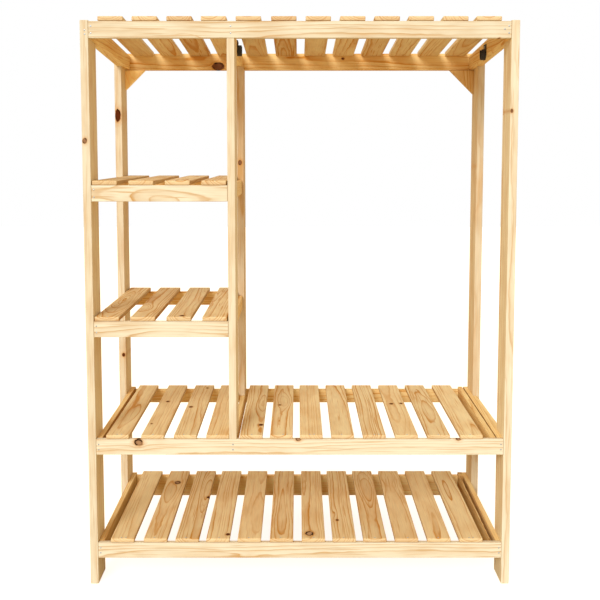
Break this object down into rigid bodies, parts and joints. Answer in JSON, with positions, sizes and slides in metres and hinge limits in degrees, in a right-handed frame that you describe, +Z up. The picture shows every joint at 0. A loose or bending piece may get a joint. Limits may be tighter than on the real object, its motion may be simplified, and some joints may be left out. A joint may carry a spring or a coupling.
{
  "type": "open frame wardrobe",
  "caption": "Free-standing open wardrobe frame of pine boards with slatted shelves, a column of small shelves and a hanging bay with rod sockets.",
  "frame": {"origin": "on the floor under the middle of the wardrobe's width and depth", "axes": "+Z up, the front faces -Y, +X to the right seen from the front"},
  "size_m": [1.2, 0.55, 1.6046],
  "materials": {
    "post_wood": "bare planed pine",
    "slat_wood": "bare planed pine",
    "inner_wood": "bare planed pine",
    "black_plastic": "moulded black plastic",
    "screw_steel": "zinc-plated steel"
  },
  "bodies": {
    "root": {"post_front_left": "post_wood", "post_front_right": "post_wood", "post_back_left": "post_wood", "post_back_right": "post_wood", "divider_post_front": "post_wood", "divider_post_back": "post_wood", "top_rail_front": "post_wood", "upper_rail_front": "post_wood", "middle_rail_front": "post_wood", "lower_rail_front": "post_wood", "bottom_rail_front": "post_wood", "top_batten_left": "inner_wood", "top_batten_right": "inner_wood", "top_side_rail_left": "inner_wood", "top_side_rail_right": "inner_wood", "top_cross_rail": "inner_wood", "gusset_left": "inner_wood", "gusset_right": "inner_wood", "upper_rail_back": "inner_wood", "upper_batten_left": "inner_wood", "upper_batten_right": "inner_wood", "upper_cross_rail": "inner_wood", "middle_rail_back": "inner_wood", "middle_batten_left": "inner_wood", "middle_batten_right": "inner_wood", "middle_cross_rail": "inner_wood", "lower_rail_back": "inner_wood", "lower_batten_left": "inner_wood", "lower_batten_divider": "inner_wood", "lower_batten_right": "inner_wood", "lower_batten_right_inner": "inner_wood", "lower_side_rail_right": "inner_wood", "bottom_batten_left": "inner_wood", "bottom_batten_right": "inner_wood", "lower_slat_1": "slat_wood", "lower_slat_2": "slat_wood", "lower_slat_3": "slat_wood", "lower_slat_4": "slat_wood", "lower_slat_5": "slat_wood", "lower_slat_6": "slat_wood", "lower_slat_7": "slat_wood", "lower_slat_8": "slat_wood", "lower_slat_9": "slat_wood", "lower_slat_10": "slat_wood", "lower_slat_11": "slat_wood", "lower_slat_12": "slat_wood", "upper_slat_1": "slat_wood", "upper_slat_2": "slat_wood", "upper_slat_3": "slat_wood", "upper_slat_4": "slat_wood", "middle_slat_1": "slat_wood", "middle_slat_2": "slat_wood", "middle_slat_3": "slat_wood", "middle_slat_4": "slat_wood", "bottom_deck": "slat_wood", "top_deck": "slat_wood", "rod_socket_left": "black_plastic", "rod_socket_right": "black_plastic", "socket_screw_left": "screw_steel", "socket_screw_right": "screw_steel"}
  },
  "joints": []
}
